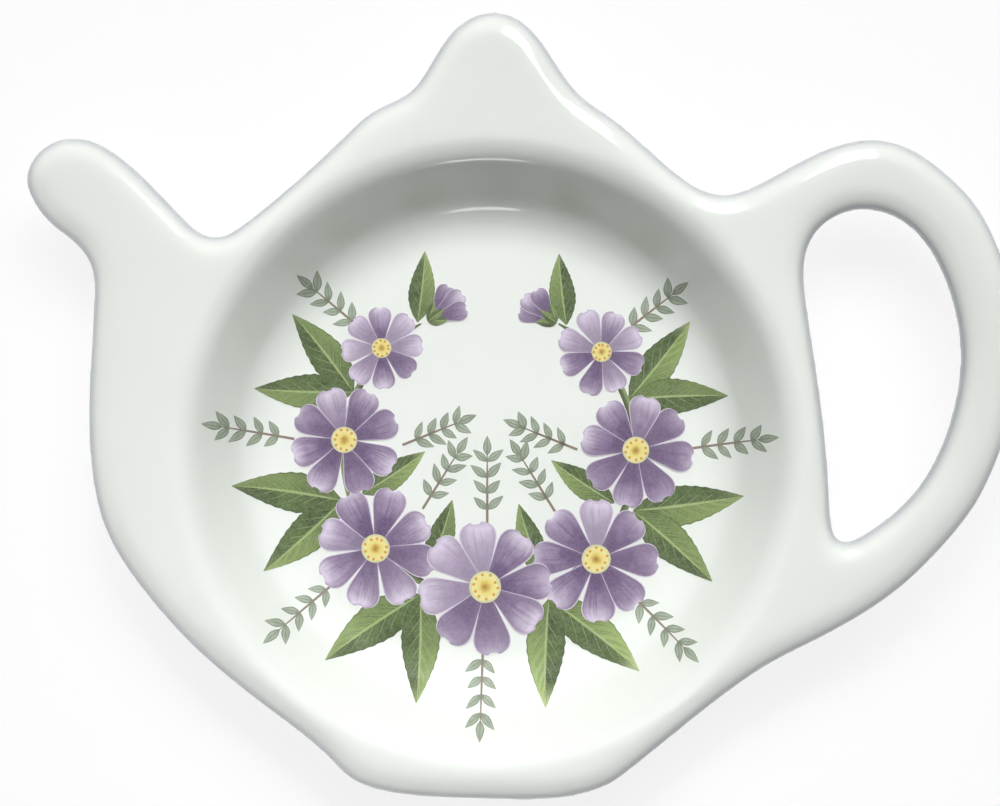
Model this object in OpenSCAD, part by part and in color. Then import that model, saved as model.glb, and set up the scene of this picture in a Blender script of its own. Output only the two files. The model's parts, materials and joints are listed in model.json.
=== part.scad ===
// Rest for used tea bags in the shape of a teapot lying flat: a round well in a plate with a
// spout, a lid knob and a looped handle. It is one piece of fired porcelain, with a floral
// print fired onto the well in separate colours. +X points to the handle, +Y to the knob and
// +Z up. The origin is on the table, under the middle of the outline.

/* [Well] */
// Diameter of the well where its wall would meet the rim, without the round lip
well_d = 77.8; // [70:0.2:80]
// Depth of the floor below the rim
well_depth = 9.8; // [8.6:0.1:11]
// Slope of the wall above the horizontal, in degrees
wall_slope = 48; // [45:1:52]
// Radius of the hollow where the wall runs into the floor
hollow_r = 8.5; // [7:0.5:10]
// Radius of the lip where the wall runs into the rim
lip_r = 5; // [3:0.2:6]

/* [Porcelain] */
// Thickness of the well's wall and floor
wall_t = 3.2; // [2.6:0.1:4]
// Thickness of the plate
rim_t = 5; // [5:0.1:6.4]
// How far in from the outline the plate's round edges reach
edge_r = 3.2; // [2:0.1:3.4]
// Width of the rim round the well
rim_w = 4.2; // [3.8:0.1:6]

/* [Foot] */
// Middle diameter of the foot ring
foot_d = 56; // [44:1:58]
// Width of the face that the foot ring stands on
foot_face_w = 2; // [1.4:0.1:3]
// Height of the foot ring below the bowl
foot_h = 1.6; // [1:0.1:3]

/* [Pot] */
// Reach of the belly from the well's middle, on the spout's side
belly_reach = 51.5; // [50:0.1:53]
// Distance from the well's middle to the flat base
base_drop = 44.4; // [44:0.1:48]
// Width of the flat base
base_w = 35; // [28:0.5:42]

/* [Spout] */
// Reach of the spout's tip from the well's middle
spout_reach = 59.6; // [57:0.1:66]
// Distance from the well's middle to the top of the spout
spout_rise = 40.5; // [38:0.1:44]
// Width of the spout's round tip
spout_w = 13.2; // [11:0.1:15]

/* [Lid] */
// Distance from the well's middle to the lid's shoulders
lid_rise = 45; // [44:0.1:47]
// Width of the lid across its shoulders
lid_w = 38.4; // [34:0.2:42]
// Distance from the well's middle to the top of the knob
knob_rise = 56.7; // [54:0.1:62]
// Width of the knob
knob_w = 17; // [14:0.2:20]

/* [Handle] */
// Reach of the handle from the well's middle
handle_reach = 68; // [64:0.1:76]
// Distance from the well's middle to the top of the handle
handle_rise = 40.3; // [38:0.1:44]
// Distance from the well's middle down to the handle's lower root
handle_drop = 23.5; // [21:0.1:27]
// Width of the handle where it reaches furthest
handle_side_w = 7.7; // [7:0.1:9]
// Width of the handle at its top
handle_top_w = 9.1; // [7.4:0.1:11]
// Width of the handle at its lower root
handle_root_w = 12.2; // [9:0.1:14]
// Width of the bridge between the well's edge and the handle's opening
bridge_w = 1.4; // [1.2:0.1:3]

/* [Print] */
// Thickness of the fired-on print
print_t = 0.15; // [0.1:0.01:0.3]
// Diameter of the garland about the well's middle
garland_d = 38; // [32:1:40]
// Diameter of a full blossom
blossom_d = 16; // [12:0.5:17]
// Diameter of a blossom's eye
eye_d = 3.8; // [2.6:0.1:5]
// Length of a full leaf
leaf_l = 15; // [11:0.5:17]
// Width of a full leaf
leaf_w = 5.6; // [4:0.2:7]
// Width of the garland's stem
stem_w = 0.9; // [0.6:0.05:1.4]
// Length of a grey sprig
sprig_l = 13; // [9:0.5:15]
// Bare line left between two colours
colour_gap = 0.2; // [0.1:0.02:0.4]

/* [Hidden] */

rim_r = well_d / 2 + rim_w;
floor_z = foot_h + wall_t;
rim_z = floor_z + well_depth;
plate_mid_z = rim_z - rim_t / 2;
garland_r = garland_d / 2;

// Spans of a smooth outline between two of its points, bands of a round edge and of a wall's arc
outline_steps = 4;
edge_bands = 8;
round_steps = 10;
// Segments of the turned shapes, of the stem's ring and of an eye
turned_fn = 120;
stem_fn = 90;
eye_fn = 24;
// How far a cutter runs past the face that it opens
overcut = 1;

function polar(r, a) = [r * cos(a), r * sin(a)];
function lowest(points, axis) = min([for (p = points) p[axis]]);
function highest(points, axis) = max([for (p = points) p[axis]]);

// A closed smooth curve that runs through its points within a hair's breadth
function pulled(p) = let (n = len(p))
    [for (i = [0:n - 1]) p[i] - (p[(i + n - 1) % n] - 2 * p[i] + p[(i + 1) % n]) / 6];
function span(a, b, c, d, t) =
    (pow(1 - t, 3) * a + (3 * pow(t, 3) - 6 * t * t + 4) * b
    + (-3 * pow(t, 3) + 3 * t * t + 3 * t + 1) * c + pow(t, 3) * d) / 6;
function smooth(p, steps = outline_steps) = let (q = pulled(p), n = len(p))
    [for (i = [0:n - 1], s = [0:steps - 1])
        span(q[(i + n - 1) % n], q[i], q[(i + 1) % n], q[(i + 2) % n], s / steps)];

// The outline moved by d to the right of its direction, which is inwards on a clockwise one
function shifted(p, d) = let (n = len(p))
    [for (i = [0:n - 1]) let (t = p[(i + 1) % n] - p[(i + n - 1) % n]) p[i] + d * [t[1], -t[0]] / norm(t)];

// A point at angle a, further out than the round rim by a share of the rim's width
function rim(a, out = 0) = polar(rim_r + out * rim_w, a);

// Outline of the plate about the well's middle, clockwise from under the spout
spout_tip = [spout_w / 2 - spout_reach, spout_rise - spout_w / 2];
spout_points = [for (p = [[0.3, -1.55], [-0.06, -1.02], [-0.53, -0.67], [-1, 0.1], [-0.7, 0.74], [-0.06, 1],
    [0.8, 0.7]]) spout_tip + p * spout_w / 2];
spout_sag = [0.045, -0.13] * spout_w;
spout_flank = [(spout_points[6] + rim(141, 0.31)) / 2 + spout_sag, rim(142.7, 0.98), rim(141.2, 0.31)];

lid_left = [rim(136.8), rim(125.6, -0.07)];
lid_shoulder_left = [for (p = [[-0.995, 0.893], [-0.84, 0.958], [-0.68, 0.998]])
    [p[0] * lid_w / 2, p[1] * lid_rise]];
// The knob sits a little to the right of the well's middle
knob_x = 0.047 * knob_w;
knob_points = [for (p = [[-1.22, 0.15], [-0.9, 0.54], [-0.54, 0.86], [0, 1], [0.54, 0.81], [0.91, 0.42],
    [1.26, 0.085]]) [knob_x + p[0] * knob_w / 2, lid_rise + p[1] * (knob_rise - lid_rise)]];
lid_shoulder_right = [for (p = [[0.76, 0.973], [0.92, 0.922]]) [p[0] * lid_w / 2, p[1] * lid_rise]];
lid_right = [rim(59.5, 0.1), rim(53, 0.02), rim(47.3, 0.45)];

handle_upper = [for (p = [[0.532, 0.88], [0.622, 0.96], [0.713, 1], [0.803, 0.963], [0.894, 0.836],
    [0.942, 0.72], [0.981, 0.543], [1, 0.321], [0.981, 0.099]]) [p[0] * handle_reach, p[1] * handle_rise]];
handle_lower = [for (p = [[0.938, 0.16], [0.894, 0.372], [0.803, 0.665], [0.713, 0.862], [0.622, 1.012],
    [0.532, 1.142]]) [p[0] * handle_reach, -p[1] * handle_drop]];

// The base sits a little to the left of the well's middle
base_x = -0.0286 * base_w;
base_right = [rim(314.2, 0.02), rim(303.8)];
base_points = [for (p = [[1.07, 0.919], [0.89, 0.964], [0.54, 1], [0.01, 0.998], [-0.51, 0.99],
    [-0.87, 0.96], [-1.04, 0.912]]) [base_x + p[0] * base_w / 2, -p[1] * base_drop]];
base_left = [rim(239.1, 0.1), rim(228.9, 0.07), rim(218.9, 0.31), rim(208.7, 0.74)];
belly_points = [for (p = [[0.914, -0.27], [0.977, -0.127], [1, 0.086], [0.986, 0.36]])
    [-p[0] * belly_reach, p[1] * belly_reach]];

plate_outline = smooth(concat(spout_points, spout_flank, lid_left, lid_shoulder_left, knob_points,
    lid_shoulder_right, lid_right, handle_upper, handle_lower, base_right, base_points, base_left,
    belly_points));

// Outline of the handle's opening, clockwise from its top
opening_low = [well_d / 2 + bridge_w, handle_root_w - handle_drop];
opening_high = [handle_reach - handle_side_w, handle_rise - handle_top_w];
opening_outline = smooth([for (p = [[-0.24, 1], [0.28, 0.925], [0.67, 0.71], [0.91, 0.42], [1, 0.13],
    [0.93, -0.16], [0.73, -0.45], [0.46, -0.67], [0.11, -0.84], [-0.26, -0.96], [-0.49, -1],
    [-0.63, -0.94], [-0.67, -0.7], [-0.73, -0.33], [-0.84, 0.05], [-0.95, 0.4], [-1, 0.64],
    [-0.9, 0.82], [-0.65, 0.94]])
    [for (i = [0:1]) (opening_high[i] + opening_low[i] + p[i] * (opening_high[i] - opening_low[i])) / 2]]);

// The well's middle, seen from the middle of the outline
well_at = -[for (i = [0:1]) (lowest(plate_outline, i) + highest(plate_outline, i)) / 2];

// Profile of the well's inside: floor, hollow, wall and lip, as [radius, height]
wall_foot_r = well_d / 2 - well_depth / tan(wall_slope);
hollow_x = wall_foot_r - hollow_r * tan(wall_slope / 2);
lip_x = well_d / 2 + lip_r * tan(wall_slope / 2);
lip_start = 12;

function hollow_arc(r) = [for (i = [0:round_steps]) let (a = wall_slope * i / round_steps)
    [hollow_x + r * sin(a), floor_z + hollow_r - r * cos(a)]];
function lip_arc() = [for (i = [0:round_steps])
    let (a = wall_slope + (lip_start - wall_slope) * i / round_steps)
    [lip_x - lip_r * sin(a), rim_z - lip_r + lip_r * cos(a)]];

// A stack of rings with the same number of points, closed at both ends
module stack(rings) {
    n = len(rings[0]);
    last = len(rings) - 1;
    sides = [for (k = [0:last - 1], i = [0:n - 1]) let (j = (i + 1) % n)
        each [[k * n + i, k * n + j, (k + 1) * n + j], [k * n + i, (k + 1) * n + j, (k + 1) * n + i]]];
    polyhedron([for (ring = rings) each ring], concat(sides,
        [[for (i = [n - 1:-1:0]) i], [for (i = [0:n - 1]) last * n + i]]));
}

// Rings of a half-round edge, which narrows or widens the outline towards both faces
function edge_rings(outline, side) = [for (k = [0:edge_bands]) let (a = 180 * k / edge_bands - 90)
    [for (p = shifted(outline, side * edge_r * (1 - cos(a)))) [p[0], p[1], edge_r * sin(a)]]];

module handle_opening() {
    rings = edge_rings(opening_outline, -1);
    below = [for (p = rings[0]) p - [0, 0, overcut]];
    above = [for (p = rings[edge_bands]) p + [0, 0, overcut]];
    stack(concat([below], rings, [above]));
}

// The plate with its spout, lid, knob and handle, its round edges drawn out to its thickness
module plate() {
    translate([0, 0, plate_mid_z]) resize([0, 0, rim_t]) difference() {
        stack(edge_rings(plate_outline, 1));
        handle_opening();
    }
}

module bowl() {
    wall_top_r = well_d / 2 + (wall_t / cos(wall_slope) - rim_t / 2) / tan(wall_slope);
    rotate_extrude($fn = turned_fn)
        polygon(concat([[0, floor_z], [0, foot_h]], hollow_arc(hollow_r + wall_t),
            [[wall_top_r, plate_mid_z], [0, plate_mid_z]]));
}

module foot_ring() {
    inner_r = foot_d / 2 - foot_face_w / 2;
    outer_r = foot_d / 2 + foot_face_w / 2;
    draft = foot_h / 3;
    top_z = foot_h + wall_t / 2;
    rotate_extrude($fn = turned_fn)
        polygon([[inner_r, 0], [outer_r, 0], [outer_r + draft, top_z], [inner_r - draft, top_z]]);
}

module well_hollow() {
    top_z = rim_z + overcut;
    rotate_extrude($fn = turned_fn)
        polygon(concat([[0, floor_z]], hollow_arc(hollow_r), lip_arc(), [[lip_x, top_z], [0, top_z]]));
}

// Blossoms of the garland, as [angle, radius, size, turn]: the angle about the well's middle, the
// radius and size as shares of the garland's and of a full blossom's, and the turn in degrees
blossoms = [[268, 0.92, 1.1, 8], [220, 1.02, 0.98, 30], [315, 1.03, 1, 0], [175, 1, 0.9, 18],
    [1, 1, 0.92, 35], [136, 1.03, 0.68, 5], [42, 1.03, 0.7, 25]];
petal_count = 8;
petal_cleft = 0.42;
petal_steps = 8;

// Buds, leaves and sprigs, as [angle, radius, size, direction]
buds = [[114, 1, 1, 38], [64, 1, 0.95, 142]];
bud_l = blossom_d * 0.34;
bud_w = blossom_d * 0.19;
leaves = [[244, 1.08, 0.98, 214], [244, 1.08, 0.92, 268], [292, 1.08, 0.92, 268], [292, 1.08, 0.98, 322],
    [198, 1.06, 0.95, 172], [198, 1.06, 0.9, 222], [338, 1.06, 0.95, 8], [338, 1.06, 0.9, 318],
    [156, 1.02, 0.85, 128], [156, 1.02, 0.85, 178], [21, 1.02, 0.85, 52], [21, 1.02, 0.85, 2],
    [119, 1.02, 0.62, 84], [59, 1.02, 0.62, 96], [243, 0.92, 0.66, 72], [293, 0.92, 0.66, 108],
    [198, 0.92, 0.66, 34], [338, 0.92, 0.66, 146]];
sprigs = [[268, 1.3, 0.85, 268], [220, 1.34, 0.85, 220], [315, 1.34, 0.85, 315], [176, 1.34, 0.8, 170],
    [1, 1.34, 0.8, 8], [136, 1.2, 0.75, 140], [42, 1.2, 0.75, 38], [268, 0.5, 0.8, 90], [220, 0.6, 0.75, 58],
    [318, 0.6, 0.75, 122], [175, 0.6, 0.7, 22], [2, 0.6, 0.7, 158]];
leaflet_l = sprig_l * 0.2;
leaflet_w = leaflet_l * 0.42;
leaflet_pairs = 4;
leaflet_turn = 48;
vein_w = leaflet_w * 0.32;
// The stem's ring is open between these angles
stem_ends = [62, 116];

// Half the outline of a pointed leaf, as shares of its length and of half its width
leaf_half = [[0.14, 0.6], [0.36, 1], [0.6, 0.82], [0.82, 0.42]];

// Closed outline of a pointed leaf that starts at the origin and runs along +X
function leaf_outline(l, w) = concat([[0, 0]], [for (p = leaf_half) [p[0] * l, p[1] * w / 2]], [[l, 0]],
    [for (i = [len(leaf_half) - 1:-1:0]) [leaf_half[i][0] * l, -leaf_half[i][1] * w / 2]]);
// A rosette of round petals with clefts between them
function rosette(r) = let (n = petal_count * petal_steps) [for (i = [0:n - 1]) let (a = 360 * i / n)
    polar(r * (1 - petal_cleft * (1 - pow(abs(cos(petal_count * a / 2)), 0.7))), a)];

module at_garland(place) {
    translate(polar(place[1] * garland_r, place[0])) rotate(place[3]) children();
}

module blossom_shapes(grow = 0) {
    for (b = blossoms) at_garland(b) polygon(rosette(b[2] * blossom_d / 2 + grow));
}

module bud_shapes(grow = 0) {
    for (b = buds) at_garland(b) translate([-grow, 0])
        polygon(leaf_outline(b[2] * bud_l + 2 * grow, b[2] * bud_w + 2 * grow));
}

module eye_shapes(grow = 0) {
    for (b = blossoms) at_garland(b) circle(d = b[2] * eye_d + 2 * grow, $fn = eye_fn);
}

module leaf_shapes(grow = 0) {
    for (l = leaves) at_garland(l) translate([-grow, 0])
        polygon(leaf_outline(l[2] * leaf_l + 2 * grow, l[2] * leaf_w + 2 * grow));
}

module stem_shapes(grow = 0) {
    difference() {
        circle(garland_r + stem_w / 2 + grow, $fn = stem_fn);
        circle(garland_r - stem_w / 2 - grow, $fn = stem_fn);
        polygon([[0, 0], polar(2 * garland_r, stem_ends[1]), polar(2 * garland_r, stem_ends[0])]);
    }
}

module sprig_shape(l) {
    translate([0, -vein_w / 2]) square([l, vein_w]);
    for (k = [1:leaflet_pairs], side = [-1, 1])
        translate([k * l / (leaflet_pairs + 1), 0]) rotate(side * leaflet_turn)
            polygon(leaf_outline(leaflet_l, leaflet_w));
    translate([l - leaflet_l / 2, 0]) polygon(leaf_outline(leaflet_l, leaflet_w));
}

module sprig_shapes() {
    for (s = sprigs) at_garland(s) sprig_shape(s[2] * sprig_l);
}

// The layer of the print's thickness on the floor and up the wall
module print_skin() {
    skin = concat([[0, floor_z]], hollow_arc(hollow_r), [lip_arc()[0]]);
    rotate_extrude($fn = turned_fn)
        polygon(concat(skin, [for (i = [len(skin) - 1:-1:0]) skin[i] + [0, print_t]]));
}

module printed() {
    translate([well_at[0], well_at[1], 0]) intersection() {
        linear_extrude(rim_z) children();
        print_skin();
    }
}

module porcelain_body() {
    color("ghostwhite") translate([well_at[0], well_at[1], 0]) difference() {
        union() {
            plate();
            bowl();
            foot_ring();
        }
        well_hollow();
    }
}

module print_petals() {
    color("thistle") printed() difference() {
        union() {
            blossom_shapes();
            bud_shapes();
        }
        eye_shapes(colour_gap);
    }
}

module print_eyes() {
    color("gold") printed() eye_shapes();
}

module print_leaves() {
    color("olivedrab") printed() difference() {
        leaf_shapes();
        blossom_shapes(colour_gap);
        bud_shapes(colour_gap);
    }
}

module print_stems() {
    color("darkolivegreen") printed() difference() {
        stem_shapes();
        blossom_shapes(colour_gap);
        leaf_shapes(colour_gap);
    }
}

module print_sprigs() {
    color("darkseagreen") printed() difference() {
        sprig_shapes();
        blossom_shapes(colour_gap);
        bud_shapes(colour_gap);
        leaf_shapes(colour_gap);
        stem_shapes(colour_gap);
    }
}

porcelain_body();
print_petals();
print_eyes();
print_leaves();
print_stems();
print_sprigs();
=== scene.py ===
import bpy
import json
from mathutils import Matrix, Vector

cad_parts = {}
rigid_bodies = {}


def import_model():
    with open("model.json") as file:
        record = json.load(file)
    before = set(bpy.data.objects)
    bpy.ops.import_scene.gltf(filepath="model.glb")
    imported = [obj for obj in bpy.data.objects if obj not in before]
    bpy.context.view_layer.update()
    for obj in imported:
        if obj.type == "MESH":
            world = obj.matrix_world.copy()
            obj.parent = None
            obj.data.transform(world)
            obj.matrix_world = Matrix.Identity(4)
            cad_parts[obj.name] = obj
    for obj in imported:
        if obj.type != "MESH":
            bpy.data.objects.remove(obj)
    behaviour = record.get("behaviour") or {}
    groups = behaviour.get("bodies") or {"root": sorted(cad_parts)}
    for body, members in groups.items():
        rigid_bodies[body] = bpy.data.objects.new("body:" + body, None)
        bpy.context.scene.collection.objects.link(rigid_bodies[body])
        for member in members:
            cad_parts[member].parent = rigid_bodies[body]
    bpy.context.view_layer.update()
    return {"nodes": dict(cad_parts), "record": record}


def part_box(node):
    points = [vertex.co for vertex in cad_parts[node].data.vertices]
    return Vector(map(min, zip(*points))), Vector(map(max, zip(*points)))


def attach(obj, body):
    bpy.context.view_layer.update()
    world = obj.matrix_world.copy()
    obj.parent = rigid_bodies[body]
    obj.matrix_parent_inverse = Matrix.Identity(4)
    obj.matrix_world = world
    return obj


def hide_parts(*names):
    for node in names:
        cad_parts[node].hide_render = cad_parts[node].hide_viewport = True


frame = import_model()

import json
import math
import random

import bmesh
import bpy
from mathutils import Matrix, Vector

mm = 0.001
chance = random.Random(7)

# the well's middle lies one foot radius left of the foot face's mount
footRadius = 28 * mm
footFace = frame["record"]["mounts"][0]["pos_m"]
wellX, wellY = footFace[0] - footRadius, footFace[1]
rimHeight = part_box("porcelain_body")[1][2]


def deselectAll():
    if bpy.context.mode != "OBJECT":
        bpy.ops.object.mode_set(mode="OBJECT")
    bpy.ops.object.select_all(action="DESELECT")


def activate(piece):
    deselectAll()
    piece.select_set(True)
    bpy.context.view_layer.objects.active = piece


def applyModifiers(piece):
    activate(piece)
    for modifier in list(piece.modifiers):
        bpy.ops.object.modifier_apply(modifier=modifier.name)


def selectVertices(piece, test):
    mesh = bmesh.from_edit_mesh(piece.data)
    for vertex in mesh.verts:
        vertex.select = test(vertex.co)
    mesh.select_flush_mode()
    bmesh.update_edit_mesh(piece.data)


def joinPieces(name, pieces):
    deselectAll()
    for piece in pieces:
        piece.select_set(True)
    bpy.context.view_layer.objects.active = pieces[0]
    if len(pieces) > 1:
        bpy.ops.object.join()
    pieces[0].name = name
    pieces[0].data.name = name
    return pieces[0]


def through(points, x):
    # smooth curve through [x, y] points
    last = len(points) - 1
    i = max(k for k in range(last) if points[k][0] <= x or k == 0)
    (x1, y1), (x2, y2) = points[i], points[i + 1]
    x0, y0 = points[max(i - 1, 0)]
    x3, y3 = points[min(i + 2, last)]
    span = x2 - x1
    slopeIn = (y2 - y0) / (x2 - x0) * span
    slopeOut = (y3 - y1) / (x3 - x1) * span
    t = min(max((x - x1) / span, 0), 1)
    return (
        (2 * t**3 - 3 * t**2 + 1) * y1
        + (t**3 - 2 * t**2 + t) * slopeIn
        + (3 * t**2 - 2 * t**3) * y2
        + (t**3 - t**2) * slopeOut
    )


# node helpers
def addNode(tree, kind, inputs=None, **settings):
    node = tree.nodes.new(kind)
    for key, value in settings.items():
        setattr(node, key, value)
    for key, value in (inputs or {}).items():
        if isinstance(value, bpy.types.NodeSocket):
            tree.links.new(value, node.inputs[key])
        else:
            node.inputs[key].default_value = value
    return node


def calc(tree, operation, a, b=0.0, c=0.0, clamp=False):
    node = addNode(tree, "ShaderNodeMath", {0: a, 1: b, 2: c}, operation=operation, use_clamp=clamp)
    return node.outputs[0]


def ease(tree, value, low, high, outLow=0.0, outHigh=1.0):
    node = addNode(
        tree,
        "ShaderNodeMapRange",
        {"Value": value, "From Min": low, "From Max": high, "To Min": outLow, "To Max": outHigh},
        interpolation_type="SMOOTHSTEP",
    )
    return node.outputs["Result"]


def blendColours(tree, factor, first, second):
    node = addNode(tree, "ShaderNodeMix", data_type="RGBA")
    for socket, value in ((node.inputs[0], factor), (node.inputs[6], first), (node.inputs[7], second)):
        if isinstance(value, bpy.types.NodeSocket):
            tree.links.new(value, socket)
        elif isinstance(value, (int, float)):
            socket.default_value = value
        else:
            socket.default_value = (*value, 1)
    return node.outputs[2]


def ramp(tree, factor, stops):
    node = addNode(tree, "ShaderNodeValToRGB", {"Fac": factor})
    elements = node.color_ramp.elements
    while len(elements) < len(stops):
        elements.new(0.5)
    for element, (place, colour) in zip(elements, stops):
        element.position = place
        element.color = (*colour, 1)
    return node.outputs["Color"]


def noise(tree, vector, scale, detail=2.0, roughness=0.5):
    node = addNode(
        tree,
        "ShaderNodeTexNoise",
        {"Vector": vector, "Scale": scale, "Detail": detail, "Roughness": roughness},
    )
    return node.outputs["Fac"]


def wellRadius(tree, coords):
    # distance from the axis of the well
    flat = addNode(tree, "ShaderNodeVectorMath", {0: coords, 1: (1, 1, 0)}, operation="MULTIPLY").outputs[0]
    middle = (wellX, wellY, 0)
    return addNode(tree, "ShaderNodeVectorMath", {0: flat, 1: middle}, operation="DISTANCE").outputs["Value"]


def newMaterial(name):
    material = bpy.data.materials.new(name)
    material.use_nodes = True
    tree = material.node_tree
    return material, tree, tree.nodes["Principled BSDF"]


def newGroup(name, inputs, outputs):
    group = bpy.data.node_groups.new(name, "ShaderNodeTree")
    for label, value in inputs:
        kind = "NodeSocketVector" if value is None else "NodeSocketFloat"
        socket = group.interface.new_socket(label, in_out="INPUT", socket_type=kind)
        if value is not None:
            socket.default_value = value
    for label, kind in outputs:
        group.interface.new_socket(label, in_out="OUTPUT", socket_type=kind)
    return group, addNode(group, "NodeGroupInput"), addNode(group, "NodeGroupOutput")


def useGroup(tree, group, values=None):
    node = addNode(tree, "ShaderNodeGroup", node_tree=group)
    for key, value in (values or {}).items():
        if isinstance(value, bpy.types.NodeSocket):
            tree.links.new(value, node.inputs[key])
        else:
            node.inputs[key].default_value = value
    return node


# the fired glaze: long soft waves under an orange-peel grain
def buildGlaze():
    group, given, result = newGroup(
        "firedGlaze",
        [("Wave Depth", 0.02), ("Grain Depth", 0.0015), ("Gloss Low", 0.06), ("Gloss High", 0.12)],
        [("Roughness", "NodeSocketFloat"), ("Normal", "NodeSocketVector")],
    )
    coords = addNode(group, "ShaderNodeTexCoord").outputs["Object"]
    wave = noise(group, coords, 75, 1, 0.4)
    grain = noise(group, coords, 900, 3, 0.55)
    depth = calc(group, "MULTIPLY", wave, given.outputs["Wave Depth"])
    depth = calc(group, "MULTIPLY_ADD", grain, given.outputs["Grain Depth"], depth)
    bump = addNode(group, "ShaderNodeBump", {"Height": depth, "Distance": mm, "Strength": 1.0})
    cloud = noise(group, coords, 220, 3, 0.6)
    gloss = addNode(
        group,
        "ShaderNodeMapRange",
        {"Value": cloud, "To Min": given.outputs["Gloss Low"], "To Max": given.outputs["Gloss High"]},
    )
    group.links.new(gloss.outputs["Result"], result.inputs["Roughness"])
    group.links.new(bump.outputs["Normal"], result.inputs["Normal"])
    return group


# printed ceramic colour: pigment that gathers and thins as a wash does
def buildWash():
    group, given, result = newGroup(
        "colourWash",
        [("Patch Scale", 320.0), ("Speckle Scale", 3000.0)],
        [("Wash", "NodeSocketFloat"), ("Speckle", "NodeSocketFloat")],
    )
    coords = addNode(group, "ShaderNodeTexCoord").outputs["Object"]
    patches = noise(group, coords, given.outputs["Patch Scale"], 4, 0.6)
    speckle = noise(group, coords, given.outputs["Speckle Scale"], 2, 0.7)
    group.links.new(ease(group, patches, 0.3, 0.7), result.inputs["Wash"])
    group.links.new(ease(group, speckle, 0.35, 0.65), result.inputs["Speckle"])
    return group


glazeGroup = buildGlaze()
washGroup = buildWash()


def glossLike(tree, shader, low, high, coat):
    glaze = useGroup(tree, glazeGroup, {"Gloss Low": low, "Gloss High": high})
    tree.links.new(glaze.outputs["Roughness"], shader.inputs["Roughness"])
    tree.links.new(glaze.outputs["Normal"], shader.inputs["Normal"])
    shader.inputs["IOR"].default_value = 1.5
    shader.inputs["Coat Weight"].default_value = coat
    shader.inputs["Coat Roughness"].default_value = 0.07
    return glaze


def printGloss(tree, shader):
    # fired colours come out duller than the glaze under them
    return glossLike(tree, shader, 0.26, 0.34, 0.05)


# the porcelain dish, from a merged copy of the CAD body
dishSettings = {
    "mergeDistance": 0.002 * mm,
    "voxel": 0.5 * mm,
    "smoothRounds": 10,
    "footBand": 0.12 * mm,  # what is this low stays flat on the table
    "gloss": (0.06, 0.12, 0.35),  # roughness from and to, weight of the clear coat
    "glazeColour": (0.815, 0.845, 0.805),
    "pooledColour": (0.745, 0.79, 0.74),
    "thinColour": (0.84, 0.85, 0.82),
    "biscuitColour": (0.74, 0.69, 0.61),
    "gritColour": (0.8, 0.77, 0.7),
    "wipedTo": (0.22 * mm, 0.12 * mm),  # the glaze ends between these heights
    "wallShadeColour": (0.78, 0.81, 0.762),  # painted shade: the wall is tinted darker and more olive, as its shade and bounced light look
    "wallFrom": (31 * mm, 34 * mm),
    "wallTo": (37 * mm, 40 * mm),
    "edgeShadeColour": (0.425, 0.445, 0.475),  # painted shade: edges that turn away from the top are greyed, as if in shade
    "edgeShadeSlope": (0.97, 0.42),  # upward part of the normal, from no painted shade to full painted shade
}


def makeDish():
    node = frame["nodes"]["porcelain_body"]
    dish = node.copy()
    dish.data = node.data.copy()
    bpy.context.scene.collection.objects.link(dish)
    dish.name = "glazedDish"
    activate(dish)
    bpy.ops.object.parent_clear(type="CLEAR_KEEP_TRANSFORM")
    bpy.ops.object.mode_set(mode="EDIT")
    bpy.ops.mesh.select_all(action="SELECT")
    bpy.ops.mesh.remove_doubles(threshold=dishSettings["mergeDistance"])
    bpy.ops.object.mode_set(mode="OBJECT")
    remesh = dish.modifiers.new("evenFaces", "REMESH")
    remesh.mode = "VOXEL"
    remesh.voxel_size = dishSettings["voxel"]
    remesh.use_smooth_shade = True
    relax = dish.modifiers.new("softEdges", "SMOOTH")
    relax.factor = 0.5
    relax.iterations = dishSettings["smoothRounds"]
    applyModifiers(dish)
    bpy.ops.object.mode_set(mode="EDIT")
    bpy.ops.mesh.select_mode(type="VERT")
    selectVertices(dish, lambda co: co.z < dishSettings["footBand"])
    bpy.ops.transform.resize(value=(1, 1, 0), center_override=(0, 0, 0))
    bpy.ops.object.mode_set(mode="OBJECT")
    bpy.ops.object.shade_smooth()
    return dish


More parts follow.
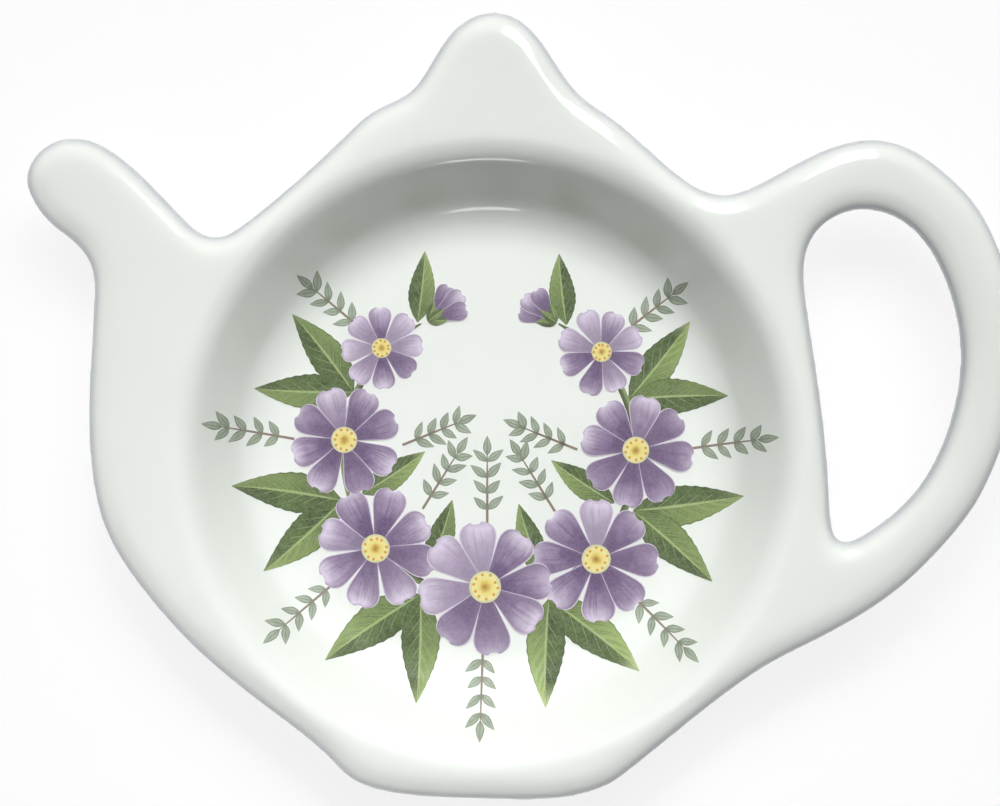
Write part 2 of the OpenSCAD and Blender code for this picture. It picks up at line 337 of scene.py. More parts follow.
def porcelainMaterial():
    settings = dishSettings
    material, tree, shader = newMaterial("glazedPorcelain")
    coords = addNode(tree, "ShaderNodeTexCoord").outputs["Object"]
    glaze = glossLike(tree, shader, *settings["gloss"])
    height = addNode(tree, "ShaderNodeSeparateXYZ", {0: coords}).outputs["Z"]
    pointed = addNode(tree, "ShaderNodeNewGeometry").outputs["Pointiness"]
    cloud = noise(tree, coords, 38, 2, 0.5)
    pooled = calc(tree, "MULTIPLY", ease(tree, pointed, 0.5, 0.46), 0.6)
    radius = wellRadius(tree, coords)
    inside = ease(tree, radius, *settings["wallTo"], 1, 0)
    wall = calc(tree, "MULTIPLY", ease(tree, radius, *settings["wallFrom"]), inside)
    thin = calc(tree, "MULTIPLY", ease(tree, pointed, 0.52, 0.58), 0.7)
    clouded = ease(tree, cloud, 0.35, 0.7, 0, 0.35)
    colour = blendColours(tree, clouded, settings["glazeColour"], settings["pooledColour"])
    colour = blendColours(tree, pooled, colour, settings["pooledColour"])
    # painted shade: the well's wall takes a darker, more olive tint
    colour = blendColours(tree, wall, colour, settings["wallShadeColour"])
    colour = blendColours(tree, thin, colour, settings["thinColour"])
    # painted shade: steep faces outside the well are greyed, as edges turning from the light look
    facing = addNode(tree, "ShaderNodeTexCoord").outputs["Normal"]
    slope = calc(tree, "ABSOLUTE", addNode(tree, "ShaderNodeSeparateXYZ", {0: facing}).outputs["Z"])
    paintedEdgeShade = ease(tree, slope, *settings["edgeShadeSlope"], 0, 0.88)
    paintedEdgeShade = calc(tree, "MULTIPLY", paintedEdgeShade, calc(tree, "SUBTRACT", 1, inside))
    colour = blendColours(tree, paintedEdgeShade, colour, settings["edgeShadeColour"])
    # the foot's standing face is wiped clean of glaze
    wiped = ease(tree, height, *settings["wipedTo"])
    grit = noise(tree, coords, 1600, 4, 0.7)
    gritty = ease(tree, grit, 0.3, 0.7)
    biscuit = blendColours(tree, gritty, settings["biscuitColour"], settings["gritColour"])
    colour = blendColours(tree, wiped, colour, biscuit)
    tree.links.new(colour, shader.inputs["Base Color"])
    rough = addNode(
        tree, "ShaderNodeMix", {0: wiped, 2: glaze.outputs["Roughness"], 3: 0.75}, data_type="FLOAT"
    ).outputs[0]
    tree.links.new(rough, shader.inputs["Roughness"])
    tree.links.new(ease(tree, wiped, 0, 1, settings["gloss"][2], 0), shader.inputs["Coat Weight"])
    return material


dish = makeDish()
dish.data.materials.clear()
dish.data.materials.append(porcelainMaterial())
print("dish:", len(dish.data.polygons), "faces")


def bladeFields(tree):
    # along and across a blade, each from 0 to 1, and the tone of its copy
    uv = addNode(tree, "ShaderNodeUVMap", uv_map="UVMap").outputs["UV"]
    split = addNode(tree, "ShaderNodeSeparateXYZ", {0: uv})
    tone = addNode(tree, "ShaderNodeAttribute", attribute_name="tone").outputs["Fac"]
    return split.outputs["X"], split.outputs["Y"], tone


# blades: petals, leaves and leaflets start as a grid whose rows are drawn in
def makeBlade(name, settings):
    deselectAll()
    rows, columns = settings["rows"], settings["columns"]
    bpy.ops.mesh.primitive_grid_add(
        x_subdivisions=rows, y_subdivisions=columns, size=1, location=(0.5, 0, 0)
    )
    blade = bpy.context.object
    blade.name = name
    bpy.ops.object.transform_apply(location=True, rotation=False, scale=False)
    bpy.ops.object.mode_set(mode="EDIT")
    bpy.ops.mesh.select_mode(type="VERT")
    for row in range(rows, -1, -1):
        start = row / rows
        place = 1 - (1 - start) ** settings["tipCrowding"]
        width = max(through(settings["outline"], place), 0.02)
        if row % 2 and row < rows:
            width *= 1 - settings.get("teeth", 0)
        selectVertices(blade, lambda co: abs(co.x - start) < 0.2 / rows)
        bpy.ops.transform.resize(value=(1, width, 1), center_override=(start, 0, 0))
        bend = settings.get("bend", 0) * place * (place - 1)
        bpy.ops.transform.translate(value=(place - start, bend, 0))
    for row, share in enumerate(settings.get("notch", [])):
        # the rows next to the tip follow it, each a little less
        place = 1 - (row / rows) ** settings["tipCrowding"]
        selectVertices(blade, lambda co: abs(co.x - place) < 0.001 and abs(co.y) < settings["notchWidth"])
        bpy.ops.transform.translate(value=(-share, 0, 0))
    bpy.ops.object.mode_set(mode="OBJECT")
    tones = blade.data.attributes.new("tone", "FLOAT", "POINT")
    tones.data.foreach_set("value", [0.5] * len(blade.data.vertices))
    return blade


def stamp(model, spot, size, turn, tone):
    # a copy of the model with its own mesh, laid flat at its place
    copy = bpy.data.objects.new(model.name + "Copy", model.data.copy())
    bpy.context.scene.collection.objects.link(copy)
    copy.data.transform(
        Matrix.Translation((*spot, rimHeight))
        @ Matrix.Rotation(math.radians(turn), 4, "Z")
        @ Matrix.Diagonal((*size, 1, 1))
    )
    copy.data.attributes["tone"].data.foreach_set("value", [tone] * len(copy.data.vertices))
    return copy


def layOn(piece, height, thickness):
    # dropped onto the glaze from above, then closed into a thin film
    drop = piece.modifiers.new("drop", "SHRINKWRAP")
    drop.target = dish
    drop.wrap_method = "PROJECT"
    drop.use_project_z = True
    drop.use_positive_direction = False
    drop.use_negative_direction = True
    drop.offset = height
    film = piece.modifiers.new("film", "SOLIDIFY")
    film.thickness = thickness
    film.offset = -1
    applyModifiers(piece)
    bpy.ops.object.shade_smooth_by_angle(angle=math.radians(40))
    return piece


garlandRadius = 19 * mm


def onGarland(place):
    angle, reach = math.radians(place[0]), place[1] * garlandRadius
    return (wellX + reach * math.cos(angle), wellY + reach * math.sin(angle))


def ahead(spot, turn, distance):
    angle = math.radians(turn)
    return (spot[0] + distance * math.cos(angle), spot[1] + distance * math.sin(angle))


# blossoms and buds
blossomSettings = {
    # angle round the well, radius as a share of the garland's, size, turn
    "places": [
        (268, 0.92, 1.1, 8),
        (220, 1.02, 0.98, 30),
        (315, 1.03, 1, 0),
        (175, 1, 0.9, 18),
        (1, 1, 0.92, 35),
        (136, 1.03, 0.68, 5),
        (42, 1.03, 0.7, 25),
    ],
    "under": (1, 2, 5, 6),  # these lie below their neighbours
    "radius": 8 * mm,
    "petals": 8,
    "petalWidth": 0.56,  # as a share of the blossom's radius
    "lengthSpread": 0.04,
    "turnSpread": 3,
    "heights": [0.07 * mm, 0.09 * mm, 0.11 * mm, 0.13 * mm],  # neighbours lie over one another
    "film": 0.03 * mm,
}
petalShape = {
    "rows": 12,
    "columns": 8,
    "tipCrowding": 1.7,
    "outline": [
        (0, 0.16),
        (0.2, 0.34),
        (0.4, 0.58),
        (0.6, 0.84),
        (0.76, 1),
        (0.88, 0.94),
        (0.96, 0.7),
        (1, 0.36),
    ],
    "notch": [0.03, 0.018, 0.008],
    "notchWidth": 0.12,
}
budSettings = {
    "places": [(114, 1, 1, 38), (64, 1, 0.95, 142)],
    "length": 5.4 * mm,
    "width": 2.6 * mm,
    "fan": 22,  # the two outer petals stand this far aside, in degrees
    "outerLength": 0.92,
    "outerTone": 0.8,
    "middleTone": 0.35,
}


def makePetals():
    settings = blossomSettings
    model = makeBlade("petalModel", petalShape)
    layers = [[], [], [], []]
    for number, place in enumerate(settings["places"]):
        low, high = layers[:2] if number in settings["under"] else layers[2:]
        spot, radius = onGarland(place), settings["radius"] * place[2]
        for k in range(settings["petals"]):
            length = radius * (1 + chance.uniform(-1, 1) * settings["lengthSpread"])
            turn = place[3] + 360 * k / settings["petals"] + chance.uniform(-1, 1) * settings["turnSpread"]
            tone = chance.random()
            copy = stamp(model, spot, (length, radius * settings["petalWidth"]), turn, tone)
            (high if k % 2 else low).append(copy)
    bud = budSettings
    for place in bud["places"]:
        spot = onGarland(place)
        length, width = bud["length"] * place[2], bud["width"] * place[2]
        for side in (-1, 1):
            size = (length * bud["outerLength"], width)
            layers[side].append(stamp(model, spot, size, place[3] + side * bud["fan"], bud["outerTone"]))
        layers[2].append(stamp(model, spot, (length, width), place[3], bud["middleTone"]))
    laid = [
        layOn(joinPieces("petalLayer", layer), height, settings["film"])
        for layer, height in zip(layers, settings["heights"])
    ]
    bpy.data.objects.remove(model)
    return joinPieces("petals", laid)


petalColours = {
    "throat": (0.075, 0.04, 0.1),
    "deep": (0.125, 0.08, 0.17),
    "dusk": (0.19, 0.14, 0.225),
    "middle": (0.33, 0.26, 0.38),
    "pale": (0.67, 0.6, 0.72),
    "rim": (0.4, 0.33, 0.46),
    "line": (0.72, 0.66, 0.76),
    "speckle": (0.9, 0.88, 0.93),
}


def petalMaterial():
    colours = petalColours
    material, tree, shader = newMaterial("lilacPrint")
    printGloss(tree, shader)
    along, across, tone = bladeFields(tree)
    wash = useGroup(tree, washGroup, {"Patch Scale": 420.0, "Speckle Scale": 3200.0})
    reach = calc(tree, "MULTIPLY", along, ease(tree, tone, 0, 1, 1.05, 0.72))
    shaken = calc(tree, "MULTIPLY_ADD", wash.outputs["Wash"], 0.14, calc(tree, "SUBTRACT", reach, 0.07))
    colour = ramp(
        tree,
        shaken,
        [
            (0.0, colours["throat"]),
            (0.26, colours["deep"]),
            (0.5, colours["middle"]),
            (0.8, colours["pale"]),
            (1.0, colours["rim"]),
        ],
    )
    # fine veins that run out of the throat, other ones on each petal
    spread = {
        0: calc(tree, "MULTIPLY", along, 1.2),
        1: calc(tree, "MULTIPLY", across, 15),
        2: calc(tree, "MULTIPLY", tone, 40),
    }
    stretched = addNode(tree, "ShaderNodeCombineXYZ", spread).outputs[0]
    streak = ease(tree, noise(tree, stretched, 1.0, 3, 0.6), 0.48, 0.64)
    fade = ease(tree, along, 1.0, 0.25)
    veined = calc(tree, "MULTIPLY", calc(tree, "MULTIPLY", streak, fade), 0.75)
    colour = blendColours(tree, veined, colour, colours["deep"])
    # one side of each petal lies in its neighbour's shade
    shaded = ease(tree, across, 0.6, 1.0, 0, 0.6)
    colour = blendColours(tree, shaded, colour, colours["dusk"])
    side = calc(tree, "ABSOLUTE", calc(tree, "SUBTRACT", across, 0.5))
    colour = blendColours(tree, ease(tree, side, 0.34, 0.46, 0, 0.4), colour, colours["dusk"])
    colour = blendColours(tree, ease(tree, tone, 0.5, 1, 0, 0.4), colour, colours["dusk"])
    colour = blendColours(tree, ease(tree, tone, 0.4, 0, 0, 0.35), colour, colours["pale"])
    line = calc(tree, "MAXIMUM", ease(tree, side, 0.46, 0.48), ease(tree, along, 0.965, 0.985))
    colour = blendColours(tree, calc(tree, "MULTIPLY", line, 0.75), colour, colours["line"])
    speckled = calc(tree, "MULTIPLY", wash.outputs["Speckle"], 0.04)
    colour = blendColours(tree, speckled, colour, colours["speckle"])
    tree.links.new(colour, shader.inputs["Base Color"])
    return material


petals = makePetals()
petals.data.materials.append(petalMaterial())
print("petals:", len(petals.data.polygons), "faces")

# the blossoms' eyes
eyeSettings = {
    "radius": 1.9 * mm,
    "insets": 3,
    "height": 0.16 * mm,
    "film": 0.04 * mm,
    "anthers": 10,
    "antherRadius": 0.2 * mm,
    "antherReach": 0.74,
    "antherColour": (0.62, 0.34, 0.05),
    "antherHeight": 0.2 * mm,
    "sides": 28,
    "antherSides": 8,
    # colours from the middle out, by radius
    "rings": [
        (0.0, (0.34, 0.16, 0.04)),
        (0.1, (0.55, 0.36, 0.08)),
        (0.2, (0.74, 0.64, 0.2)),
        (0.38, (0.76, 0.7, 0.34)),
        (0.5, (0.56, 0.56, 0.36)),
    ],
}


def makeDisc(name, sides, insets):
    deselectAll()
    bpy.ops.mesh.primitive_circle_add(vertices=sides, radius=1, fill_type="NGON")
    disc = bpy.context.object
    disc.name = name
    bpy.ops.object.mode_set(mode="EDIT")
    bpy.ops.mesh.select_all(action="SELECT")
    for _ in range(insets):
        bpy.ops.mesh.inset(thickness=0.9 / (insets + 1))
    bpy.ops.mesh.poke()
    bpy.ops.object.mode_set(mode="OBJECT")
    tones = disc.data.attributes.new("tone", "FLOAT", "POINT")
    tones.data.foreach_set("value", [0.0] * len(disc.data.vertices))
    return disc


def makeEyes():
    settings = eyeSettings
    disc = makeDisc("eyeModel", settings["sides"], settings["insets"])
    dot = makeDisc("antherModel", settings["antherSides"], 0)
    discs, dots = [], []
    for place in blossomSettings["places"]:
        spot, size = onGarland(place), settings["radius"] * place[2]
        discs.append(stamp(disc, spot, (size, size), place[3], 0.0))
        for k in range(settings["anthers"]):
            turn = place[3] + 360 * (k + 0.5) / settings["anthers"] + chance.uniform(-6, 6)
            reach = size * settings["antherReach"] * (1 + chance.uniform(-0.12, 0.08))
            width = settings["antherRadius"] * (0.7 + 0.3 * place[2])
            dots.append(stamp(dot, ahead(spot, turn, reach), (width, width), turn, 1.0))
    low = layOn(joinPieces("eyeDiscs", discs), settings["height"], settings["film"])
    high = layOn(joinPieces("anthers", dots), settings["antherHeight"], settings["film"])
    bpy.data.objects.remove(disc)
    bpy.data.objects.remove(dot)
    return joinPieces("eyes", [low, high])


def eyeMaterial():
    material, tree, shader = newMaterial("yellowPrint")
    printGloss(tree, shader)
    uv = addNode(tree, "ShaderNodeUVMap", uv_map="UVMap").outputs["UV"]
    middle = (0.5, 0.5, 0)
    radius = addNode(tree, "ShaderNodeVectorMath", {0: uv, 1: middle}, operation="DISTANCE").outputs["Value"]
    wash = useGroup(tree, washGroup, {"Patch Scale": 1500.0, "Speckle Scale": 5000.0})
    shaken = calc(tree, "MULTIPLY_ADD", calc(tree, "SUBTRACT", wash.outputs["Wash"], 0.5), 0.06, radius)
    colour = ramp(tree, shaken, eyeSettings["rings"])
    tone = addNode(tree, "ShaderNodeAttribute", attribute_name="tone").outputs["Fac"]
    colour = blendColours(tree, tone, colour, eyeSettings["antherColour"])
    tree.links.new(colour, shader.inputs["Base Color"])
    return material


eyes = makeEyes()
eyes.data.materials.append(eyeMaterial())
print("eyes:", len(eyes.data.polygons), "faces")

# leaves
leafSettings = {
    # angle round the well, radius as a share of the garland's, size, direction
    "places": [
        (244, 1.08, 0.98, 214),
        (244, 1.08, 0.92, 268),
        (292, 1.08, 0.92, 268),
        (292, 1.08, 0.98, 322),
        (198, 1.06, 0.95, 172),
        (198, 1.06, 0.9, 222),
        (338, 1.06, 0.95, 8),
        (338, 1.06, 0.9, 318),
        (156, 1.02, 0.85, 128),
        (156, 1.02, 0.85, 178),
        (21, 1.02, 0.85, 52),
        (21, 1.02, 0.85, 2),
        (119, 1.02, 0.62, 84),
        (59, 1.02, 0.62, 96),
        (243, 0.92, 0.66, 72),
        (293, 0.92, 0.66, 108),
        (198, 0.92, 0.66, 34),
        (338, 0.92, 0.66, 146),
    ],
    "length": 15 * mm,
    "width": 5.6 * mm,
    "sepals": (-34, 0, 34),  # round the bud's direction, in degrees
    "sepalSize": (2.7 * mm, 1.15 * mm),
    "sepalBack": 0.4 * mm,  # they start this far behind the petals
    "sepalTone": 0.3,
    "heights": (0.04 * mm, 0.055 * mm, 0.16 * mm, 0.18 * mm),  # two layers of leaves, two of sepals
    "film": 0.03 * mm,
}
leafShape = {
    "rows": 22,
    "columns": 8,
    "tipCrowding": 1.15,
    "outline": [(0, 0.04), (0.14, 0.6), (0.36, 1), (0.6, 0.86), (0.82, 0.46), (1, 0.02)],
    "teeth": 0.05,  # every second row is drawn in by this share
    "bend": 0.16,
}
leafColours = {
    "dark": (0.034, 0.06, 0.014),
    "middle": (0.084, 0.132, 0.034),
    "light": (0.3, 0.4, 0.13),
    "tip": (0.52, 0.62, 0.3),
    "vein": (0.36, 0.45, 0.19),
    "speckle": (0.7, 0.75, 0.6),
}


def makeLeaves():
    settings = leafSettings
    model = makeBlade("leafModel", leafShape)
    layers = [[], [], [], []]
    for k, place in enumerate(settings["places"]):
        mirrored = -1 if k % 2 else 1
        size = (settings["length"] * place[2], settings["width"] * place[2] * mirrored)
        copy = stamp(model, onGarland(place), size, place[3], chance.random())
        if mirrored < 0:
            copy.data.flip_normals()
        layers[k % 2].append(copy)
    for place in budSettings["places"]:
        base = ahead(onGarland(place), place[3], -settings["sepalBack"])
        for k, turn in enumerate(settings["sepals"]):
            sepal = stamp(model, base, settings["sepalSize"], place[3] + turn, settings["sepalTone"])
            layers[2 + k % 2].append(sepal)
    laid = [
        layOn(joinPieces("leafLayer", layer), height, settings["film"])
        for layer, height in zip(layers, settings["heights"])
    ]
    bpy.data.objects.remove(model)
    return joinPieces("leaves", laid)


def leafMaterial():
    colours = leafColours
    material, tree, shader = newMaterial("leafGreenPrint")
    printGloss(tree, shader)
    along, across, tone = bladeFields(tree)
    wash = useGroup(tree, washGroup, {"Patch Scale": 300.0, "Speckle Scale": 3200.0})
    colour = blendColours(tree, wash.outputs["Wash"], colours["dark"], colours["middle"])
    # the half that faces the light is paler, most towards its tip
    lit = calc(tree, "MULTIPLY", ease(tree, across, 0.56, 0.46), ease(tree, along, 0.0, 0.8, 0.25, 1.0))
    lit = calc(tree, "MULTIPLY", lit, ease(tree, tone, 0, 1, 0.45, 1.0))
    colour = blendColours(tree, lit, colour, colours["light"])
    tip = calc(tree, "MULTIPLY", ease(tree, along, 0.72, 1.0), ease(tree, tone, 0.3, 0.9, 0.2, 0.9))
    colour = blendColours(tree, tip, colour, colours["tip"])
    side = calc(tree, "ABSOLUTE", calc(tree, "SUBTRACT", across, 0.5))
    slanted = calc(tree, "MULTIPLY_ADD", side, -0.5, along)
    repeated = calc(tree, "FRACT", calc(tree, "MULTIPLY", slanted, 8))
    ribs = calc(tree, "ABSOLUTE", calc(tree, "SUBTRACT", repeated, 0.5))
    rib = calc(tree, "MULTIPLY", ease(tree, ribs, 0.1, 0.02), ease(tree, side, 0.5, 0.1))
    shade = calc(tree, "MULTIPLY", ease(tree, ribs, 0.32, 0.12), ease(tree, side, 0.5, 0.15))
    colour = blendColours(tree, calc(tree, "MULTIPLY", shade, 0.4), colour, colours["dark"])
    midrib = ease(tree, side, 0.045, 0.02)
    vein = calc(tree, "MAXIMUM", midrib, calc(tree, "MULTIPLY", rib, 0.55))
    colour = blendColours(tree, calc(tree, "MULTIPLY", vein, 0.75), colour, colours["vein"])
    edge = ease(tree, side, 0.44, 0.5, 0, 0.7)
    colour = blendColours(tree, edge, colour, colours["dark"])
    speckled = calc(tree, "MULTIPLY", wash.outputs["Speckle"], 0.08)
    colour = blendColours(tree, speckled, colour, colours["speckle"])
    tree.links.new(colour, shader.inputs["Base Color"])
    return material


leaves = makeLeaves()
leaves.data.materials.append(leafMaterial())
print("leaves:", len(leaves.data.polygons), "faces")

# the garland's stem, an open ring
stemSettings = {
    "width": 0.9 * mm,
    "sides": 180,
    "opening": (63, 117),  # degrees round the well
    "taper": (0.2, 0.36, 0.52, 0.68, 0.84),  # width at an end's last steps
    "height": 0.045 * mm,
    "film": 0.035 * mm,
    "dark": (0.07, 0.095, 0.035),
    "light": (0.27, 0.33, 0.16),
}


def makeStems():
    settings = stemSettings
    inner, outer = garlandRadius - settings["width"] / 2, garlandRadius + settings["width"] / 2
    deselectAll()
    bpy.ops.mesh.primitive_circle_add(vertices=settings["sides"], radius=inner, fill_type="NOTHING")
    ring = bpy.context.object
    bpy.ops.object.mode_set(mode="EDIT")
    bpy.ops.mesh.select_mode(type="VERT")
    bpy.ops.mesh.select_all(action="SELECT")
    for reach, last in ((garlandRadius, inner), (outer, garlandRadius)):
        bpy.ops.mesh.extrude_edges_move()
        grow = reach / last
        bpy.ops.transform.resize(value=(grow, grow, 1), center_override=(0, 0, 0))

    def inOpening(co):
        angle = math.degrees(math.atan2(co.y, co.x)) % 360
        return settings["opening"][0] < angle < settings["opening"][1]

    selectVertices(ring, inOpening)
    bpy.ops.mesh.delete(type="VERT")
    step = 360 / settings["sides"]
    for end, way in zip(settings["opening"], (-1, 1)):
        # the ends run out to a point
        for k, share in enumerate(settings["taper"]):
            turn = math.radians(end + way * (k + 0.5) * step)
            spot = (garlandRadius * math.cos(turn), garlandRadius * math.sin(turn), 0)
            selectVertices(ring, lambda co: abs(math.atan2(co.y, co.x) - turn) < math.radians(step / 2))
            bpy.ops.transform.resize(value=(share, share, share), center_override=spot)
    bpy.ops.mesh.select_all(action="SELECT")
    bpy.ops.mesh.normals_make_consistent(inside=False)
    bpy.ops.object.mode_set(mode="OBJECT")
    ring.data.transform(Matrix.Translation((wellX, wellY, rimHeight)))
    if ring.data.polygons[0].normal.z < 0:
        ring.data.flip_normals()
    return layOn(joinPieces("stem", [ring]), settings["height"], settings["film"])


def stemMaterial():
    settings = stemSettings
    material, tree, shader = newMaterial("olivePrint")
    printGloss(tree, shader)
    radius = wellRadius(tree, addNode(tree, "ShaderNodeTexCoord").outputs["Object"])
    lit = ease(tree, radius, garlandRadius - 0.25 * mm, garlandRadius + 0.35 * mm)
    wash = useGroup(tree, washGroup, {"Patch Scale": 260.0, "Speckle Scale": 3000.0})
    lit = calc(tree, "MULTIPLY", lit, calc(tree, "MULTIPLY_ADD", wash.outputs["Wash"], 0.7, 0.3))
    colour = blendColours(tree, lit, settings["dark"], settings["light"])
    tree.links.new(colour, shader.inputs["Base Color"])
    return material


stem = makeStems()
stem.data.materials.append(stemMaterial())
print("stem:", len(stem.data.polygons), "faces")

# grey-green sprigs
sprigSettings = {
    "places": [
        (268, 1.3, 0.85, 268),
        (220, 1.34, 0.85, 220),
        (315, 1.34, 0.85, 315),
        (176, 1.34, 0.8, 170),
        (1, 1.34, 0.8, 8),
        (136, 1.2, 0.75, 140),
        (42, 1.2, 0.75, 38),
        (268, 0.5, 0.8, 90),
        (220, 0.6, 0.75, 58),
        (318, 0.6, 0.75, 122),
        (175, 0.6, 0.7, 22),
        (2, 0.6, 0.7, 158),
    ],
    "length": 13 * mm,
    "pairs": 4,
    "leafletTurn": 48,
    "leafletLength": 2.6 * mm,
    "leafletWidth": 1.1 * mm,
    "veinWidth": 0.35 * mm,
    "height": 0.035 * mm,
    "film": 0.03 * mm,
    "pale": (0.37, 0.42, 0.33),
    "dark": (0.13, 0.17, 0.11),
    "vein": (0.24, 0.2, 0.15),
}
leafletShape = {
    "rows": 6,
    "columns": 4,
    "tipCrowding": 1.2,
    "outline": [(0, 0.06), (0.14, 0.6), (0.36, 1), (0.6, 0.86), (0.82, 0.46), (1, 0.04)],
}
veinShape = {
    "rows": 20,
    "columns": 2,
    "tipCrowding": 1.0,
    "outline": [(0, 1), (0.5, 0.8), (1, 0.25)],
}


def makeSprigs():
    settings = sprigSettings
    leaflet = makeBlade("leafletModel", leafletShape)
    vein = makeBlade("veinModel", veinShape)
    copies = []
    for place in settings["places"]:
        start, turn, length = onGarland(place), place[3], place[2] * settings["length"]
        copies.append(stamp(vein, start, (length, settings["veinWidth"]), turn, 1.0))
        size = (settings["leafletLength"], settings["leafletWidth"])
        for k in range(1, settings["pairs"] + 1):
            joint = ahead(start, turn, k * length / (settings["pairs"] + 1))
            for side in (-1, 1):
                lean = turn + side * settings["leafletTurn"] + chance.uniform(-6, 6)
                grown = [one * (1 + chance.uniform(-0.12, 0.06)) for one in size]
                copies.append(stamp(leaflet, joint, grown, lean, chance.uniform(0, 0.6)))
        tip = ahead(start, turn, length - settings["leafletLength"] / 2)
        copies.append(stamp(leaflet, tip, size, turn, chance.uniform(0, 0.6)))
    sprigs = layOn(joinPieces("sprigs", copies), settings["height"], settings["film"])
    bpy.data.objects.remove(leaflet)
    bpy.data.objects.remove(vein)
    return sprigs


def sprigMaterial():
    settings = sprigSettings
    material, tree, shader = newMaterial("greyGreenPrint")
    printGloss(tree, shader)
    along, across, tone = bladeFields(tree)
    wash = useGroup(tree, washGroup, {"Patch Scale": 700.0, "Speckle Scale": 4000.0})
    side = calc(tree, "ABSOLUTE", calc(tree, "SUBTRACT", across, 0.5))
    dark = calc(tree, "MAXIMUM", ease(tree, side, 0.3, 0.48), ease(tree, side, 0.1, 0.03, 0, 0.6))
    dark = calc(tree, "MAXIMUM", dark, ease(tree, along, 0.35, 0.0, 0, 0.8))
    dark = calc(tree, "MULTIPLY", dark, 0.7)
    dark = calc(tree, "MULTIPLY_ADD", wash.outputs["Wash"], 0.3, dark, clamp=True)
    colour = blendColours(tree, dark, settings["pale"], settings["dark"])
    colour = blendColours(tree, ease(tree, tone, 0.7, 1.0), colour, settings["vein"])
    tree.links.new(colour, shader.inputs["Base Color"])
    return material


sprigs = makeSprigs()
sprigs.data.materials.append(sprigMaterial())
print("sprigs:", len(sprigs.data.polygons), "faces")

# each piece joins the root body, and the CAD part it stands for is hidden
for piece, node, slotName in (
    (dish, "porcelain_body", "glazed_porcelain"),
    (petals, "print_petals", "lilac_print"),
    (eyes, "print_eyes", "yellow_print"),
    (leaves, "print_leaves", "leaf_green_print"),
    (stem, "print_stems", "olive_print"),
    (sprigs, "print_sprigs", "grey_green_print"),
):
    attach(piece, "root")
    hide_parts(node)

# floor, lamps and camera
studio = {
    "floorSize": 4.0,
    "floorColour": (0.93, 0.93, 0.93),
    "shadowShare": 0.16,  # how much of the real floor the camera sees under the white
    "ambient": 0.01,
    # azimuth in degrees right of +Y, elevation, distance, size, power
    "key": (5, 54, 2.0, (1.8, 0.8), 45.5),
    "knobGlint": (29, 52, 0.085, (0.032, 0.05), 0.0078),
    "handleGlint": (-4, 48, 0.1, (0.036, 0.08), 0.012),
    "spoutGlint": (42, 47, 0.25, (0.08, 0.03), 0.0026),
    "tableBounce": (0, -90, 0.4, (4.0, 4.0), 32),
    "lowFill": (205, -14, 1.6, (3.0, 0.4), 24),
    "lipGlint": (186, 32, 0.0415, (0.008, 0.006), 0.0008),
    "pool": (0, 58, 0.5, (0.06, 0.06), 0.0137),
    # where a narrow lamp points, and how wide it spreads in degrees
    "aims": {
        "knobGlint": ((0.004, 0.042, 0.014), 44),
        "handleGlint": ((0.0435, 0.0315, 0.014), 40),
        "spoutGlint": ((-0.051, 0.027, 0.014), 12),
        "pool": ((-0.01, -0.05, 0), 25),
    },
}
photo = {
    "width": 1000,
    "height": 806,
    "pixelsPerMetre": 7800,  # at the plane of the rim
    "originX": 523.0,  # where the part's origin lies in the photograph
    "originY": 406.0,
    "planeHeight": 12 * mm,  # the rim's plane above the table
    "distance": 0.5,
}


def lightPathMask(tree):
    path = addNode(tree, "ShaderNodeLightPath")
    seen = calc(tree, "MAXIMUM", path.outputs["Is Camera Ray"], path.outputs["Is Glossy Ray"])
    return calc(tree, "MAXIMUM", seen, path.outputs["Is Transmission Ray"])


def makeFloor():
    deselectAll()
    bpy.ops.mesh.primitive_plane_add(size=studio["floorSize"], location=(0, 0, 0))
    floor = bpy.context.object
    floor.name = "floor"
    material = bpy.data.materials.new("paleFloor")
    material.use_nodes = True
    tree = material.node_tree
    tree.nodes.clear()
    paper = addNode(tree, "ShaderNodeBsdfDiffuse", {"Color": (*studio["floorColour"], 1)})
    glow = addNode(tree, "ShaderNodeEmission", {"Color": (1, 1, 1, 1), "Strength": 1.0})
    white = calc(tree, "MULTIPLY", lightPathMask(tree), 1 - studio["shadowShare"])
    seen = addNode(tree, "ShaderNodeMixShader", {0: white, 1: paper.outputs[0], 2: glow.outputs[0]})
    clear = addNode(tree, "ShaderNodeBsdfTransparent")
    under = addNode(tree, "ShaderNodeNewGeometry").outputs["Backfacing"]
    both = addNode(tree, "ShaderNodeMixShader", {0: under, 1: seen.outputs[0], 2: clear.outputs[0]})
    output = addNode(tree, "ShaderNodeOutputMaterial")
    tree.links.new(both.outputs[0], output.inputs["Surface"])
    floor.data.materials.append(material)
    floor.visible_shadow = False  # so that the lamp under it reaches the foot


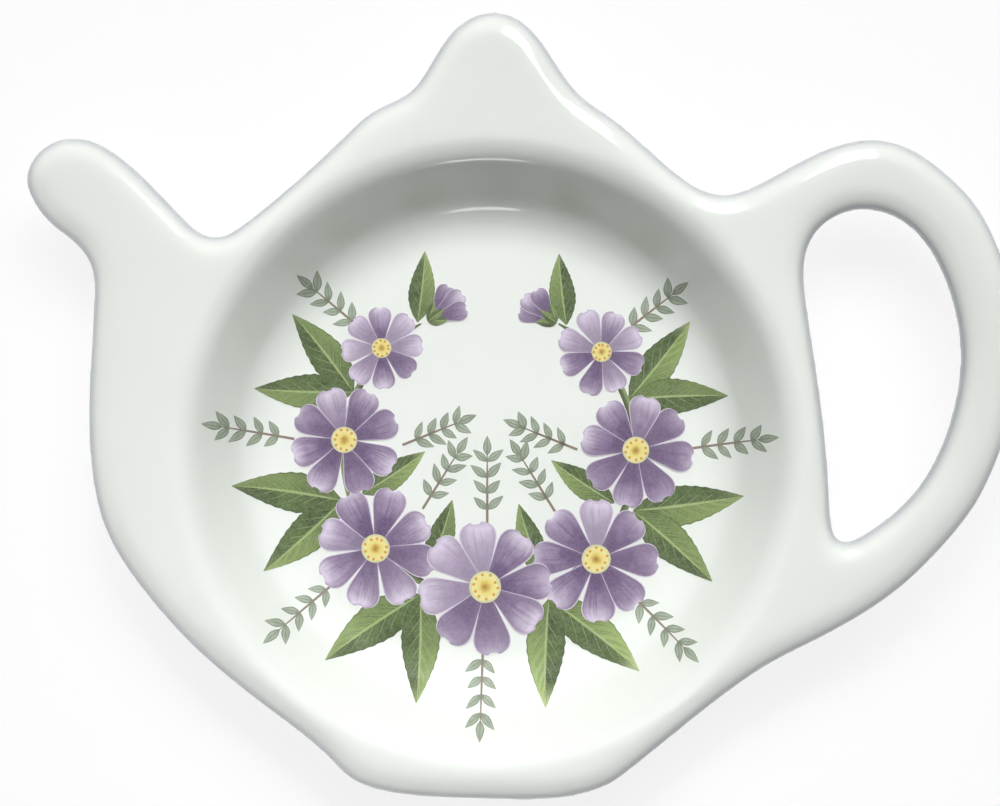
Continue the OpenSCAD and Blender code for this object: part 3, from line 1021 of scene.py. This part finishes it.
def makeWorld():
    world = bpy.data.worlds.new("studio")
    bpy.context.scene.world = world
    world.use_nodes = True
    tree = world.node_tree
    tree.nodes.clear()
    soft = addNode(tree, "ShaderNodeBackground", {"Color": (1, 1, 1, 1), "Strength": studio["ambient"]})
    white = addNode(tree, "ShaderNodeBackground", {"Color": (1, 1, 1, 1), "Strength": 1.0})
    seen = lightPathMask(tree)
    mixed = addNode(tree, "ShaderNodeMixShader", {0: seen, 1: soft.outputs[0], 2: white.outputs[0]})
    output = addNode(tree, "ShaderNodeOutputWorld")
    tree.links.new(mixed.outputs[0], output.inputs["Surface"])


def makeLamp(name, glossy=False, diffuse=True):
    azimuth, elevation, distance, size, power = studio[name]
    azimuth, elevation = math.radians(azimuth), math.radians(elevation)
    level = math.cos(elevation)
    away = Vector((math.sin(azimuth) * level, math.cos(azimuth) * level, math.sin(elevation)))
    data = bpy.data.lights.new(name, "AREA")
    data.shape = "RECTANGLE"
    data.size, data.size_y = size
    data.energy = power
    place, spread = studio["aims"].get(name, ((0, 0, 0), 180))
    data.spread = math.radians(spread)
    lamp = bpy.data.objects.new(name, data)
    bpy.context.scene.collection.objects.link(lamp)
    lamp.location = Vector(place) + away * distance
    lamp.rotation_euler = away.to_track_quat("Z", "Y").to_euler()
    lamp.visible_camera = False
    lamp.visible_glossy = glossy
    lamp.visible_diffuse = diffuse


def makeCamera():
    data = bpy.data.cameras.new("camera")
    camera = bpy.data.objects.new("camera", data)
    bpy.context.scene.collection.objects.link(camera)
    middleX = (photo["width"] / 2 - photo["originX"]) / photo["pixelsPerMetre"]
    middleY = (photo["originY"] - photo["height"] / 2) / photo["pixelsPerMetre"]
    camera.location = (middleX, middleY, photo["planeHeight"] + photo["distance"])
    data.sensor_width = 36
    data.lens = data.sensor_width * photo["distance"] * photo["pixelsPerMetre"] / photo["width"]
    data.clip_start, data.clip_end = 0.01, 10
    bpy.context.scene.camera = camera


makeFloor()
makeWorld()
makeLamp("key")
for name in ("knobGlint", "handleGlint", "spoutGlint", "lipGlint"):
    makeLamp(name, glossy=True, diffuse=False)
makeLamp("tableBounce")
makeLamp("lowFill")
makeLamp("pool")
makeCamera()
bpy.context.scene.view_settings.view_transform = "Standard"
print("studio ready")
